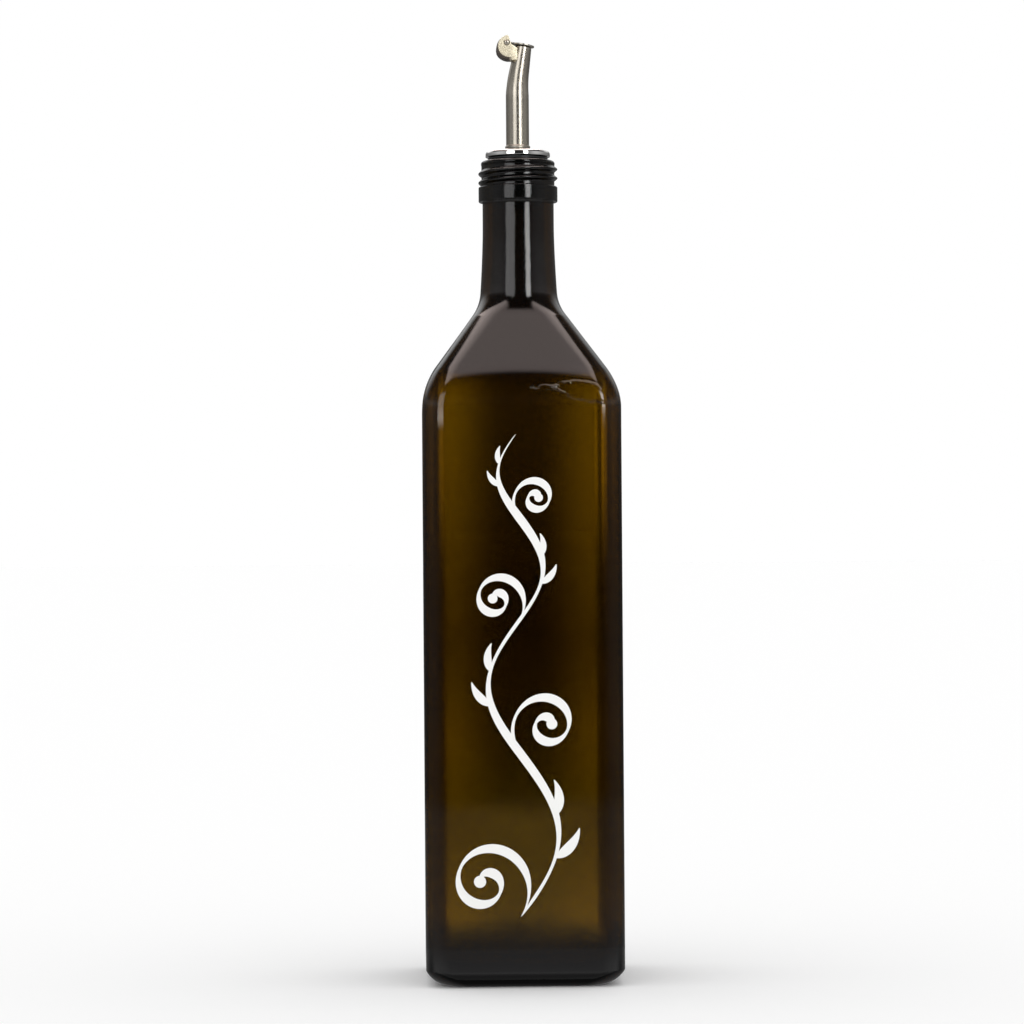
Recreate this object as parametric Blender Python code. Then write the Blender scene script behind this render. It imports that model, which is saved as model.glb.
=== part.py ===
"""Square dark-glass oil bottle with a steel pouring spout that a small hinged flap shuts.

Metres, +Z up. The origin is at the centre of the foot, on the table, and the front faces -Y.
"""

import math

import bmesh
import bpy
from mathutils import Matrix, Vector
from mathutils.geometry import interpolate_bezier

MM = 0.001
GAP = 0.3 * MM  # between pieces that touch

# Bottle, outside
BODY_HALF = 37.8 * MM
BODY_CORNER = 9.0 * MM
HEEL_RADIUS = 6.2 * MM
HEEL_FLATNESS = 1.48  # 1 is a quarter circle and 2 is a straight cut
HEEL_CORNER = 11.5 * MM
BEARING_WIDTH = 3.2 * MM
PUNT_DEPTH = 3.2 * MM
PUNT_SHAPE = ((0.3, 1.0), (0.75, 0.85), (0.95, 0.3))  # shares of the bearing's inside and of the depth
FOOT_OF_SHOULDER = 219.5 * MM
SHOULDER_RADIUS = 28.8 * MM
SHOULDER_SLOPE = math.radians(36.3)  # from the vertical
SHOULDER_RUN = 23.2 * MM  # the straight stretch, along the slope
SHOULDER_ARCH = 2.4 * MM  # how much higher the crease is at a face's middle than at its ends
RIDGE_CORNER = 9.0 * MM
RIDGE_CORNER_FROM = 17.0 * MM  # above the foot of the shoulder
RIDGE_END = 253.0 * MM
CREASE = 14.0 * MM  # above the foot of the shoulder
CREASE_SPREAD = 6.0 * MM
NECK_SWEEP = 19.0 * MM  # radius of the hollow curve from the shoulder into the neck
NECK_SLOPE = math.radians(5.0)
NECK_BASE = 264.8 * MM
NECK_RADIUS = 13.8 * MM
NECK_STRAIGHT_FROM = 290.0 * MM
COLLAR_LOW = 300.6 * MM
COLLAR_HIGH = 306.1 * MM
COLLAR_RADIUS = 15.3 * MM
COLLAR_EDGE = 0.4 * MM
LIP_LOW = 314.1 * MM
LIP_HIGH = 316.1 * MM
LIP_RADIUS = 14.3 * MM
LIP_ROUND = 1.2 * MM

# Bottle, screw thread, right-handed, counted in turns from the +X side
THREAD_ROOT = 14.15 * MM
THREAD_CREST = 15.35 * MM
THREAD_PITCH = 3.45 * MM
THREAD_HALF_WIDTH = 1.35 * MM
THREAD_AT_RIGHT = 309.4 * MM
THREAD_FIRST_TURN = -0.75
THREAD_LAST_TURN = 1.12
THREAD_FADE = 0.14
THREAD_STEP = 0.46 * MM

# Bottle, inside
WALL = 3.5 * MM
FLOOR = 8.6 * MM
FLOOR_ROUND = 7.0 * MM
BORE = 10.2 * MM
BORE_FROM = 283.0 * MM
BORE_LEAD_IN = 1.0 * MM
OIL_LEVEL = 231.5 * MM

# Stopper
RIM_RADIUS = 11.6 * MM
RIM_HEIGHT = 0.9 * MM
RIM_EDGE = 0.25 * MM
PLUG_RADIUS = 9.0 * MM
RIB_RADIUS = 9.8 * MM
RIB_COUNT = 4
RIB_PITCH = 3.6 * MM
RIB_HEIGHT = 1.1 * MM
PLUG_TAPER = 1.0 * MM
PLUG_END = 297.9 * MM
POUR_HOLE = 3.6 * MM

# Steel cap on the stopper
CAP_RADIUS = 12.5 * MM
CAP_SIDE = 1.6 * MM  # how far the edge stands up straight
CAP_EDGE = 0.6 * MM
CAP_HEIGHT = 3.1 * MM
CAP_PLATEAU = 5.6 * MM

# Spout tube
TUBE_RADIUS = 4.45 * MM
TUBE_END_RADIUS = 3.25 * MM
TUBE_WALL = 0.55 * MM
BEND_FROM = 341.6 * MM
BEND_LENGTH = 9.0 * MM
BEND_ANGLE = math.radians(9.5)
TUBE_END_RUN = 10.0 * MM
BEAD_RADIUS = 5.1 * MM
BEAD_HEIGHT = 1.5 * MM

# Hinge bracket, pin and flap; x and z are in the front view
SHEET = 0.6 * MM
BRACKET_GAP = 6.0 * MM  # clear width between the two cheeks
BRACKET_TIP = Vector((-4.2, 364.6)) * MM
BRACKET_BACK = Vector((-8.1, 359.2)) * MM
BRACKET_FOOT = Vector((-4.0, 355.2)) * MM
BRACKET_BASE = 355.0 * MM
BRACKET_ON_TUBE = 0.9 * MM  # how far the cheeks reach over the tube's side
BRACKET_TOP_EDGE = ((-2.3, 361.25), (-2.75, 362.4), (-3.1, 363.9), (-3.6, 364.65))  # in mm
BRACKET_FRONT_TOP = 359.6 * MM
WEB_TOP = 363.4 * MM
PIN_X = -4.03 * MM
PIN_Z = 361.75 * MM
PIN_RADIUS = 0.5 * MM
PIN_HEAD_RADIUS = 0.95 * MM
PIN_HEAD_HEIGHT = 0.5 * MM
PIN_HEAD_EDGE = 0.3  # share of a head's height that its edge stands up straight
KNUCKLE_RADIUS = 1.3 * MM
TONGUE_WIDTH = 5.0 * MM
FLAP_RADIUS = 4.2 * MM

BODY_SIDES = 40
TUBE_SIDES = 24
FLAT_POINT = 0.55  # where the extra point lies on half of a flat side
FLAT_STEPS = 2
SHARP_ANGLE = math.radians(40)
ROUND_FROM = 0.3  # share of corner to half above which points spread evenly


def smooth_step(value, low, high):
    """0 below low, 1 above high, and an even S between them."""
    share = min(1.0, max(0.0, (value - low) / (high - low)))
    return share * share * (3 - 2 * share)


def mix(low, high, share):
    return low + (high - low) * share


def steps(count):
    """count + 1 even shares from 0 to 1."""
    return [index / count for index in range(count + 1)]


def clear_scene():
    for item in list(bpy.data.objects):
        bpy.data.objects.remove(item)


def make_material(name, colour, roughness, metallic):
    material = bpy.data.materials.new(name)
    material.use_nodes = True
    shader = material.node_tree.nodes["Principled BSDF"]
    shader.inputs["Base Color"].default_value = (*colour, 1)
    shader.inputs["Roughness"].default_value = roughness
    shader.inputs["Metallic"].default_value = metallic
    return material


def shade(mesh):
    """Smooth shading, but for edges past the angle."""
    mesh.shade_smooth()
    mesh.set_sharp_from_angle(angle=SHARP_ANGLE)


def add_object(name, shape, material=None):
    """Turns a bmesh into an object with outward faces."""
    bmesh.ops.recalc_face_normals(shape, faces=shape.faces)
    mesh = bpy.data.meshes.new(name)
    shape.to_mesh(mesh)
    shape.free()
    shade(mesh)
    item = bpy.data.objects.new(name, mesh)
    bpy.context.scene.collection.objects.link(item)
    if material:
        mesh.materials.append(material)
    return item


def loft(rings, wrap=False):
    """A closed skin through rings of equal count. wrap joins last to first; else both ends get a cap."""
    shape = bmesh.new()
    loops = [[shape.verts.new(point) for point in ring] for ring in rings]
    pairs = list(zip(loops, loops[1:]))
    if wrap:
        pairs.append((loops[-1], loops[0]))
    for lower, upper in pairs:
        for index in range(len(lower)):
            after = (index + 1) % len(lower)
            shape.faces.new((lower[index], lower[after], upper[after], upper[index]))
    if not wrap:
        shape.faces.new(reversed(loops[0]))
        shape.faces.new(loops[-1])
    return shape


def turned(profile, sides, closed=True):
    """Spins (radius, height) points round Z. A closed profile is a ring; an open one ends on the axis."""
    shape = bmesh.new()
    points = [shape.verts.new((radius, 0, height)) for radius, height in profile]
    edges = [shape.edges.new(pair) for pair in zip(points, points[1:])]
    if closed:
        edges.append(shape.edges.new((points[-1], points[0])))
    bmesh.ops.spin(
        shape,
        geom=points + edges,
        cent=(0, 0, 0),
        axis=(0, 0, 1),
        angle=math.tau,
        steps=sides,
        use_merge=True,
    )
    bmesh.ops.remove_doubles(shape, verts=shape.verts, dist=0.00001)
    return shape


def prism(outline, half_depth):
    """Extrudes an (x, z) outline along Y, evenly to both sides."""
    shape = bmesh.new()
    face = shape.faces.new([shape.verts.new((x, -half_depth, z)) for x, z in outline])
    grown = bmesh.ops.extrude_face_region(shape, geom=[face])
    moved = [item for item in grown["geom"] if isinstance(item, bmesh.types.BMVert)]
    bmesh.ops.translate(shape, verts=moved, vec=(0, 2 * half_depth, 0))
    return shape


def cross_pin(radius, length, sides=16):
    """A plain cylinder along Y through the hinge pin's axis."""
    shape = bmesh.new()
    bmesh.ops.create_cone(
        shape,
        cap_ends=True,
        segments=sides,
        radius1=radius,
        radius2=radius,
        depth=length,
        matrix=Matrix.Translation((PIN_X, 0, PIN_Z)) @ Matrix.Rotation(math.pi / 2, 4, "X"),
    )
    return shape


def combine(target, operation, *others):
    """Joins or cuts target with each other object, applies it, and removes what was used."""
    for other in others:
        change = target.modifiers.new("cut", "BOOLEAN")
        change.operation = operation
        change.object = other
        change.solver = "EXACT"
        bpy.context.view_layer.update()
        evaluated = target.evaluated_get(bpy.context.evaluated_depsgraph_get())
        result = bpy.data.meshes.new_from_object(evaluated)
        target.modifiers.clear()
        target.data = result
        bpy.data.objects.remove(other)
    shade(target.data)
    return target


# Rounded-square outlines


def crowded_angle(step, count, flat, half, corner):
    """Direction of one of a quarter's points on a rounded square: most lie on the corner's arc."""
    arc_steps = count - 2 * FLAT_STEPS
    if step < FLAT_STEPS:
        return math.atan2(FLAT_POINT * flat * step, half)
    if step > count - FLAT_STEPS:
        return math.atan2(half, FLAT_POINT * flat)
    turn = math.pi / 2 * (step - FLAT_STEPS) / arc_steps
    return math.atan2(flat + corner * math.sin(turn), flat + corner * math.cos(turn))


def reach(angle, flat, half, corner):
    """How far a rounded square goes from its centre in a direction of its first quarter."""
    across = math.cos(angle)
    up = math.sin(angle)
    if up * half <= flat * across:
        return half / across
    if across * half <= flat * up:
        return half / up
    along = flat * (across + up)
    return along + math.sqrt(max(0.0, along * along - 2 * flat * flat + corner * corner))


def outline(half, corner, height, arch=0.0):
    """A ring on a rounded square, anticlockwise from +X; a circle where corner is half."""
    corner = min(corner, half)
    flat = half - corner
    roundness = max(0.0, (corner / half - ROUND_FROM) / (1 - ROUND_FROM))
    count = BODY_SIDES // 4
    ring = []
    for quarter in range(4):
        for step in range(count):
            even = math.pi / 2 * step / count
            angle = mix(crowded_angle(step, count, flat, half, corner), even, roundness)
            distance = reach(angle, flat, half, corner)
            across = distance * math.cos(angle)
            up = distance * math.sin(angle)
            drop = arch * (min(across, up) / half) ** 2
            turn = Matrix.Rotation(quarter * math.pi / 2, 3, "Z")
            ring.append(turn @ Vector((across, up, height - drop)))
    return ring


def circle(radius, height):
    return outline(radius, radius, height)


# Bottle


def shoulder_stations(inset, end_radius, end_height):
    """(half width, height) up the shoulder and neck, inset from the outer skin."""
    stations = []
    centre = BODY_HALF - SHOULDER_RADIUS
    bend = SHOULDER_RADIUS - inset
    for share in steps(7):
        turn = SHOULDER_SLOPE * share
        stations.append((centre + bend * math.cos(turn), FOOT_OF_SHOULDER + bend * math.sin(turn)))
    sweep_half = centre + (SHOULDER_RADIUS + NECK_SWEEP) * math.cos(SHOULDER_SLOPE)
    sweep_half -= SHOULDER_RUN * math.sin(SHOULDER_SLOPE)
    sweep_height = FOOT_OF_SHOULDER + (SHOULDER_RADIUS + NECK_SWEEP) * math.sin(SHOULDER_SLOPE)
    sweep_height += SHOULDER_RUN * math.cos(SHOULDER_SLOPE)
    bend = NECK_SWEEP + inset
    for share in steps(8):
        turn = mix(SHOULDER_SLOPE, NECK_SLOPE, share)
        stations.append((sweep_half - bend * math.cos(turn), sweep_height - bend * math.sin(turn)))
    base_half, base_height = stations[-1]
    for share in steps(4)[1:]:
        half = mix(end_radius, base_half, (1 - share) ** 1.5)
        stations.append((half, mix(base_height, end_height, share)))
    return stations


def shoulder_ring(half, height, inset):
    """One ring of the shoulder: square below, ridged halfway, round at the neck."""
    ridge = smooth_step(height, FOOT_OF_SHOULDER, FOOT_OF_SHOULDER + RIDGE_CORNER_FROM)
    corner = mix(BODY_CORNER, RIDGE_CORNER, ridge) - inset / 2
    corner = mix(corner, half, smooth_step(height, RIDGE_END, NECK_BASE))
    crease = FOOT_OF_SHOULDER + CREASE
    rise = smooth_step(height, FOOT_OF_SHOULDER - CREASE_SPREAD, crease)
    fall = 1 - smooth_step(height, crease, RIDGE_END + CREASE_SPREAD)
    return outline(half, corner, height, SHOULDER_ARCH * rise * fall)


def thread_radius(angle, height):
    """Radius of the threaded stretch in a direction, with the helical ridge on it."""
    swell = 0.0
    for whole in range(-2, 3):
        turns = angle / math.tau + whole
        start = smooth_step(turns, THREAD_FIRST_TURN, THREAD_FIRST_TURN + THREAD_FADE)
        end = 1 - smooth_step(turns, THREAD_LAST_TURN - THREAD_FADE, THREAD_LAST_TURN)
        middle = THREAD_AT_RIGHT + THREAD_PITCH * turns
        off = min(1.0, abs(height - middle) / THREAD_HALF_WIDTH)
        swell = max(swell, start * end * 0.5 * (1 + math.cos(math.pi * off)))
    return mix(THREAD_ROOT, THREAD_CREST, swell)


def thread_ring(height):
    ring = []
    for index in range(BODY_SIDES):
        angle = math.tau * index / BODY_SIDES
        radius = thread_radius(angle, height)
        ring.append(Vector((radius * math.cos(angle), radius * math.sin(angle), height)))
    return ring


def foot_rings():
    """From the middle of the punt out to the straight body."""
    bearing_out = BODY_HALF - HEEL_RADIUS
    bearing_in = bearing_out - BEARING_WIDTH
    rings = [outline(bearing_in * out, HEEL_CORNER, PUNT_DEPTH * up) for out, up in PUNT_SHAPE]
    rings.append(outline(bearing_in, HEEL_CORNER, 0))
    for share in steps(6):
        turn = math.pi / 2 * share
        half = bearing_out + HEEL_RADIUS * math.sin(turn) ** HEEL_FLATNESS
        corner = mix(HEEL_CORNER, BODY_CORNER, share)
        drop = max(0.0, math.cos(turn)) ** HEEL_FLATNESS
        rings.append(outline(half, corner, HEEL_RADIUS * (1 - drop)))
    return rings


def finish_rings():
    """Collar, thread and lip, from the neck up to the top of the mouth."""
    rings = [
        circle(NECK_RADIUS, COLLAR_LOW - 3 * COLLAR_EDGE),
        circle(COLLAR_RADIUS - COLLAR_EDGE, COLLAR_LOW),
        circle(COLLAR_RADIUS, COLLAR_LOW + COLLAR_EDGE),
        circle(COLLAR_RADIUS, COLLAR_HIGH - COLLAR_EDGE),
        circle(COLLAR_RADIUS - COLLAR_EDGE, COLLAR_HIGH),
    ]
    count = round((LIP_LOW - COLLAR_HIGH) / THREAD_STEP)
    for share in steps(count)[1:]:
        rings.append(thread_ring(mix(COLLAR_HIGH, LIP_LOW, share)))
    for share in steps(3):
        turn = math.pi / 2 * share
        radius = LIP_RADIUS - LIP_ROUND * (1 - math.cos(turn))
        height = LIP_HIGH - LIP_ROUND * (1 - math.sin(turn))
        rings.append(circle(radius, height))
    return rings


def inner_rings(inset, floor, top):
    """The inside of the bottle from the floor up, as far as top."""
    half = BODY_HALF - inset
    corner = BODY_CORNER - WALL / 2
    rings = []
    for share in steps(4):
        turn = math.pi / 2 * share
        rings.append(
            outline(
                half - FLOOR_ROUND * (1 - math.sin(turn)),
                mix(HEEL_CORNER, corner, share),
                floor + FLOOR_ROUND * (1 - math.cos(turn)),
            )
        )
    extra = inset - WALL
    for station_half, height in shoulder_stations(inset, BORE - extra, BORE_FROM):
        if height < top:
            rings.append(shoulder_ring(station_half, height, WALL))
    return rings


def make_bottle(material):
    rings = foot_rings()
    rings += [
        shoulder_ring(half, height, 0)
        for half, height in shoulder_stations(0, NECK_RADIUS, NECK_STRAIGHT_FROM)
    ]
    rings += finish_rings()
    rings.append(circle(BORE + BORE_LEAD_IN, LIP_HIGH))
    rings.append(circle(BORE, LIP_HIGH - BORE_LEAD_IN))
    rings += reversed(inner_rings(WALL, FLOOR, LIP_HIGH))
    return add_object("bottle_glass", loft(rings), material)


def make_oil(material):
    """The oil fills the inside up to a level cut flat across the foot of the shoulder."""
    shape = loft(inner_rings(WALL + GAP, FLOOR + GAP, OIL_LEVEL + 10 * MM))
    whole = list(shape.verts) + list(shape.edges) + list(shape.faces)
    cut = bmesh.ops.bisect_plane(
        shape, geom=whole, plane_co=(0, 0, OIL_LEVEL), plane_no=(0, 0, 1), clear_outer=True
    )
    level_edges = [item for item in cut["geom_cut"] if isinstance(item, bmesh.types.BMEdge)]
    bmesh.ops.edgeloop_fill(shape, edges=level_edges)
    return add_object("oil", shape, material)


# Pourer


def make_stopper(material):
    """A ribbed plug in the neck with a thin rim that lies on the lip."""
    low = LIP_HIGH + GAP
    high = low + RIM_HEIGHT
    profile = [
        (POUR_HOLE, high),
        (POUR_HOLE, PLUG_END),
        (PLUG_RADIUS - PLUG_TAPER, PLUG_END),
        (PLUG_RADIUS, PLUG_END + PLUG_TAPER),
    ]
    for index in range(RIB_COUNT):
        base = PLUG_END + 2 * PLUG_TAPER + index * RIB_PITCH
        profile.append((PLUG_RADIUS, base))
        profile.append((RIB_RADIUS, base + 0.75 * RIB_HEIGHT))
        profile.append((PLUG_RADIUS, base + RIB_HEIGHT))
    profile.append((PLUG_RADIUS, low))
    profile.append((RIM_RADIUS - RIM_EDGE, low))
    profile.append((RIM_RADIUS, low + RIM_EDGE))
    profile.append((RIM_RADIUS, high))
    return add_object("stopper", turned(profile, 32), material)


def cap_low():
    return LIP_HIGH + RIM_HEIGHT + 2 * GAP


def make_cap(material):
    """The round steel cap: upright side, rolled edge, sloping skirt and a flat middle."""
    low = cap_low()
    high = low + CAP_HEIGHT
    profile = [
        (POUR_HOLE, low),
        (CAP_RADIUS - RIM_EDGE, low),
        (CAP_RADIUS, low + RIM_EDGE),
    ]
    for share in steps(3):
        turn = math.pi / 2 * share
        radius = CAP_RADIUS - CAP_EDGE * (1 - math.cos(turn))
        profile.append((radius, low + CAP_SIDE + CAP_EDGE * math.sin(turn)))
    profile.append((CAP_PLATEAU + 4 * RIM_EDGE, high - RIM_EDGE / 2))
    profile.append((CAP_PLATEAU, high))
    profile.append((POUR_HOLE, high))
    return add_object("pourer_cap", turned(profile, 40), material)


def tube_foot():
    return cap_low() + CAP_HEIGHT + GAP


def tube_stations():
    """(centre, direction, radius) down the middle of the tube: upright, bent, then leaning."""
    stations = [
        (Vector((0, 0, tube_foot())), 0.0, TUBE_RADIUS),
        (Vector((0, 0, BEND_FROM)), 0.0, TUBE_RADIUS),
    ]
    bend = BEND_LENGTH / BEND_ANGLE
    total = BEND_LENGTH + TUBE_END_RUN
    for share in steps(4)[1:]:
        turn = BEND_ANGLE * share
        centre = Vector((bend * (1 - math.cos(turn)), 0, BEND_FROM + bend * math.sin(turn)))
        gone = BEND_LENGTH * share / total
        stations.append((centre, turn, mix(TUBE_RADIUS, TUBE_END_RADIUS, gone)))
    corner = stations[-1][0]
    ahead = Vector((math.sin(BEND_ANGLE), 0, math.cos(BEND_ANGLE)))
    for share in steps(3)[1:]:
        gone = (BEND_LENGTH + TUBE_END_RUN * share) / total
        centre = corner + ahead * TUBE_END_RUN * share
        stations.append((centre, BEND_ANGLE, mix(TUBE_RADIUS, TUBE_END_RADIUS, gone)))
    return stations


def tube_ring(centre, lean, radius):
    turn = Matrix.Rotation(lean, 3, "Y")
    ring = []
    for index in range(TUBE_SIDES):
        angle = math.tau * index / TUBE_SIDES
        ring.append(centre + turn @ Vector((radius * math.cos(angle), radius * math.sin(angle), 0)))
    return ring


def make_tube(material):
    stations = tube_stations()
    outer = [tube_ring(centre, lean, radius) for centre, lean, radius in stations]
    inner = [tube_ring(centre, lean, radius - TUBE_WALL) for centre, lean, radius in stations]
    return add_object("spout_tube", loft(outer + inner[::-1], wrap=True), material)


def make_bead(material):
    """The weld bead round the tube's foot."""
    low = tube_foot()
    inner = TUBE_RADIUS + GAP
    profile = [
        (inner, low),
        (BEAD_RADIUS, low),
        (BEAD_RADIUS, low + BEAD_HEIGHT / 3),
        (BEAD_RADIUS - RIM_EDGE, low + BEAD_HEIGHT * 0.8),
        (inner, low + BEAD_HEIGHT),
    ]
    return add_object("weld_bead", turned(profile, 24), material)


# Hinge


def outer_curve(inset):
    """The bracket's back edge from its tip down and round to the foot, (x, z), inset from the outside."""
    tip = BRACKET_TIP - Vector((0, inset))
    back = BRACKET_BACK + Vector((inset, 0))
    foot = BRACKET_FOOT + Vector((0, inset))
    upper = interpolate_bezier(
        tip, tip + Vector((-2.4, -0.9)) * MM, back + Vector((0, 2.6)) * MM, back, 8
    )
    lower = interpolate_bezier(
        back, back + Vector((0, -2.3)) * MM, foot + Vector((-1.9, 0.3)) * MM, foot, 6
    )
    return [tuple(point) for point in list(upper) + list(lower)[1:]]


def make_bracket(material):
    """A folded sheet channel at the back of the mouth: two cheeks and a curved web."""
    front = tube_stations()[-1][0].x - TUBE_END_RADIUS + BRACKET_ON_TUBE
    top_edge = [(x * MM, z * MM) for x, z in BRACKET_TOP_EDGE]
    cheek = outer_curve(0) + [(front, BRACKET_BASE), (front, BRACKET_FRONT_TOP)] + top_edge
    bracket = add_object("flap_bracket", prism(cheek, BRACKET_GAP / 2 + SHEET))
    inside = [point for point in outer_curve(SHEET) if point[1] < WEB_TOP]
    ahead = front + BRACKET_GAP
    above = BRACKET_TIP.y + BRACKET_GAP
    pocket = inside + [
        (ahead, BRACKET_BASE + SHEET),
        (ahead, above),
        (BRACKET_BACK.x, above),
        (BRACKET_BACK.x, WEB_TOP),
    ]
    hollow = add_object("bracket_pocket", prism(pocket, BRACKET_GAP / 2))
    hole = add_object("pin_hole", cross_pin(PIN_RADIUS + GAP, 2 * BRACKET_GAP))
    stations = tube_stations()[1:]
    rings = [tube_ring(centre, lean, radius + GAP) for centre, lean, radius in stations]
    clearance = add_object("tube_clearance", loft(rings))
    combine(bracket, "DIFFERENCE", hollow, hole, clearance)
    bracket.data.materials.append(material)
    return bracket


def make_pin(material):
    """A rivet through both cheeks, with a domed head at each end."""
    head_inside = BRACKET_GAP / 2 + SHEET + GAP
    head_outside = head_inside + PIN_HEAD_HEIGHT
    half_profile = [(PIN_RADIUS, head_inside), (PIN_HEAD_RADIUS, head_inside)]
    for share in steps(3):
        turn = math.pi / 2 * share
        height = mix(head_inside, head_outside, mix(PIN_HEAD_EDGE, 1, math.sin(turn)))
        half_profile.append((PIN_HEAD_RADIUS * math.cos(turn), height))
    mirrored = [(radius, -height) for radius, height in reversed(half_profile)]
    shape = turned(mirrored + half_profile, 16, closed=False)
    turn = Matrix.Rotation(math.pi / 2, 4, "X")
    bmesh.ops.transform(shape, matrix=Matrix.Translation((PIN_X, 0, PIN_Z)) @ turn, verts=shape.verts)
    return add_object("hinge_pin", shape, material)


def make_flap(material):
    """A thin lid with a knuckle on the pin. It is modelled about the pin, which is its origin."""
    mouth = tube_stations()[-1][0]
    normal = Vector((math.sin(BEND_ANGLE), 0, math.cos(BEND_ANGLE)))
    ahead = Vector((math.cos(BEND_ANGLE), 0, -math.sin(BEND_ANGLE)))
    pin = Vector((PIN_X, 0, PIN_Z))
    low = (mouth - pin).dot(normal) + GAP
    middle = (mouth - pin).dot(ahead)
    half_tongue = TONGUE_WIDTH / 2
    meets = math.asin(half_tongue / FLAP_RADIUS)
    plan = [(0.0, -half_tongue)]
    for share in steps(22):
        angle = mix(meets - math.pi, math.pi - meets, share)
        plan.append((middle + FLAP_RADIUS * math.cos(angle), FLAP_RADIUS * math.sin(angle)))
    plan.append((0.0, half_tongue))
    shape = bmesh.new()
    face = shape.faces.new([shape.verts.new((x, y, low)) for x, y in plan])
    grown = bmesh.ops.extrude_face_region(shape, geom=[face])
    moved = [item for item in grown["geom"] if isinstance(item, bmesh.types.BMVert)]
    bmesh.ops.translate(shape, verts=moved, vec=(0, 0, SHEET))
    bmesh.ops.rotate(
        shape, cent=(0, 0, 0), matrix=Matrix.Rotation(BEND_ANGLE, 3, "Y"), verts=shape.verts
    )
    flap = add_object("flap", shape)
    barrels = []
    for name, radius, length in (
        ("knuckle", KNUCKLE_RADIUS, TONGUE_WIDTH),
        ("knuckle_bore", PIN_RADIUS + GAP, 2 * TONGUE_WIDTH),
    ):
        barrel = cross_pin(radius, length)
        bmesh.ops.translate(barrel, verts=barrel.verts, vec=-pin)
        barrels.append(add_object(name, barrel))
    combine(flap, "UNION", barrels[0])
    combine(flap, "DIFFERENCE", barrels[1])
    flap.data.materials.append(material)
    flap.location = pin
    return flap


def main():
    clear_scene()
    glass = make_material("dark_glass", (0.09, 0.06, 0.015), 0.05, 0)
    oil = make_material("olive_oil", (0.42, 0.32, 0.02), 0.08, 0)
    plastic = make_material("black_plastic", (0.012, 0.012, 0.014), 0.4, 0)
    chrome = make_material("polished_steel", (0.78, 0.78, 0.78), 0.08, 1)
    steel = make_material("brushed_steel", (0.56, 0.53, 0.49), 0.3, 1)
    make_bottle(glass)
    make_oil(oil)
    make_stopper(plastic)
    make_cap(chrome)
    make_tube(steel)
    make_bead(steel)
    make_bracket(steel)
    make_pin(steel)
    make_flap(steel)


main()
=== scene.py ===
import math

import bmesh
import bpy
from mathutils import Matrix, Vector


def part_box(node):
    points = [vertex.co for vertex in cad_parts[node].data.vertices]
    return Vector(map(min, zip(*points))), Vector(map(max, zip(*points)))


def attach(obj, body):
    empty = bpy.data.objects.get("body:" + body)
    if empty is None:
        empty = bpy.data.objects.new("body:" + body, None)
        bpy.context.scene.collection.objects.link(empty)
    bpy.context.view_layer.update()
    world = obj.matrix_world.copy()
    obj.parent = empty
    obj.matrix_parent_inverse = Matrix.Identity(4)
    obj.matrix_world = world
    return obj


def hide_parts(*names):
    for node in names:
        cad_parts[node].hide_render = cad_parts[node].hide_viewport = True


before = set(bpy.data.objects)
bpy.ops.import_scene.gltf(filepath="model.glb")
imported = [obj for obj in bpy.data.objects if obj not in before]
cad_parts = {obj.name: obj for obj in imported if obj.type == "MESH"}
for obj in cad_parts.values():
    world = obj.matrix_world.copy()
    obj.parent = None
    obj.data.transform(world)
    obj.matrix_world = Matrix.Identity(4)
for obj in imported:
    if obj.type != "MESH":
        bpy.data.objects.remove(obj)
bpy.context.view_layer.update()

mm = 0.001
glassLow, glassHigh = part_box("bottle_glass")
print("frame loaded, nodes:", len(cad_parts))


# small helpers

def mix(low, high, share):
    return low + (high - low) * share


def smoothStep(value, low, high):
    share = min(1.0, max(0.0, (value - low) / (high - low)))
    return share * share * (3 - 2 * share)


def steps(count):
    return [index / count for index in range(count + 1)]


def quarterTurns(count):
    return [math.pi / 2 * share for share in steps(count)]


def bump(value, middle, reach):  # 1 at the middle, falling smoothly to 0 at the reach
    return 0.5 * (1 + math.cos(math.pi * min(1.0, abs(value - middle) / reach)))


def finishMesh(mesh, name, body, material, replaced=(), sharp=35):
    # a mesh becomes a piece that rides on a body
    mesh.shade_smooth()
    mesh.set_sharp_from_angle(angle=math.radians(sharp))
    mesh.materials.clear()
    mesh.materials.append(material)
    piece = bpy.data.objects.new(name, mesh)
    bpy.context.scene.collection.objects.link(piece)
    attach(piece, body)
    if replaced:
        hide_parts(*replaced)
    print(name, "has", len(mesh.polygons), "faces")
    return piece


def finishPiece(shape, name, body, material, replaced=(), sharp=35):
    bmesh.ops.recalc_face_normals(shape, faces=shape.faces)
    mesh = bpy.data.meshes.new(name)
    shape.to_mesh(mesh)
    shape.free()
    return finishMesh(mesh, name, body, material, replaced, sharp)


def turned(profile, segments, closed=True):
    # spins (radius, height) points round the bottle's axis
    shape = bmesh.new()
    points = [shape.verts.new((radius, 0, height)) for radius, height in profile]
    edges = [shape.edges.new(pair) for pair in zip(points, points[1:])]
    if closed:
        edges.append(shape.edges.new((points[-1], points[0])))
    bmesh.ops.spin(
        shape, geom=points + edges, cent=(0, 0, 0), axis=(0, 0, 1),
        angle=math.tau, steps=segments, use_merge=True,
    )
    bmesh.ops.remove_doubles(shape, verts=shape.verts, dist=0.002 * mm)
    return shape


def roundCorner(centre, radius, fromTurn, toTurn, count=5):
    # points of a rounded edge, as (radius, height), with the turn measured from straight out
    turns = [math.radians(mix(fromTurn, toTurn, share)) for share in steps(count)]
    return [(centre[0] + radius * math.cos(turn), centre[1] + radius * math.sin(turn)) for turn in turns]


def ringEdges(made):
    return list({edge for vertex in made["verts"] for edge in vertex.link_edges})


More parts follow.
